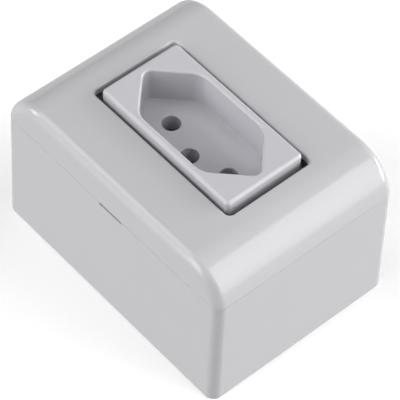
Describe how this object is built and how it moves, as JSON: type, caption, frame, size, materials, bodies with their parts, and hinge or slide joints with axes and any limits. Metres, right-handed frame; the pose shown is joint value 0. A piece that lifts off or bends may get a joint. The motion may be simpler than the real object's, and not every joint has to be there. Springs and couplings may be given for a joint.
{
  "type": "surface mounted socket",
  "caption": "Surface mounted socket: a deep wall box with a round-ended clip-on cover and a raised outlet module with an elongated hexagonal plug recess.",
  "frame": {"origin": "middle of the back face, which lies against the wall", "axes": "+Z out of the wall, towards the plug; +Y along the long side; +X to the right when the socket is seen from the front with +Y up; the earth hole lies at -X"},
  "size_m": [0.051, 0.0706, 0.0427],
  "materials": {
    "box_plastic": "smooth moulded light grey plastic with a gloss",
    "cover_plastic": "smooth moulded light grey plastic with a gloss",
    "module_plastic": "smooth moulded light grey plastic with a gloss",
    "frame_nylon": "plain off-white nylon",
    "body_thermoset": "matt black moulded plastic",
    "contact_bronze": "pressed bronze strip",
    "terminal_brass": "sawn and drilled brass",
    "spring_steel": "bent spring steel strip",
    "plated_steel": "zinc plated steel"
  },
  "bodies": {
    "box": {"surface_box": "box_plastic", "mounting_frame": "frame_nylon", "socket_face": "module_plastic", "socket_body": "body_thermoset", "live_contact": "contact_bronze", "live_contact_spring": "spring_steel", "live_terminal": "terminal_brass", "live_terminal_screw": "plated_steel", "neutral_contact": "contact_bronze", "neutral_contact_spring": "spring_steel", "neutral_terminal": "terminal_brass", "neutral_terminal_screw": "plated_steel", "earth_contact": "contact_bronze", "earth_contact_spring": "spring_steel", "earth_terminal": "terminal_brass", "earth_terminal_screw": "plated_steel", "far_frame_screw": "plated_steel", "far_housing_screw": "plated_steel", "near_frame_screw": "plated_steel", "near_housing_screw": "plated_steel"},
    "cover_body": {"cover": "cover_plastic"}
  },
  "joints": [
    {"name": "cover_lift", "type": "slide", "parent": "box", "child": "cover_body", "axis": [0, 0, 1], "range_m": [0, 0.03]}
  ]
}
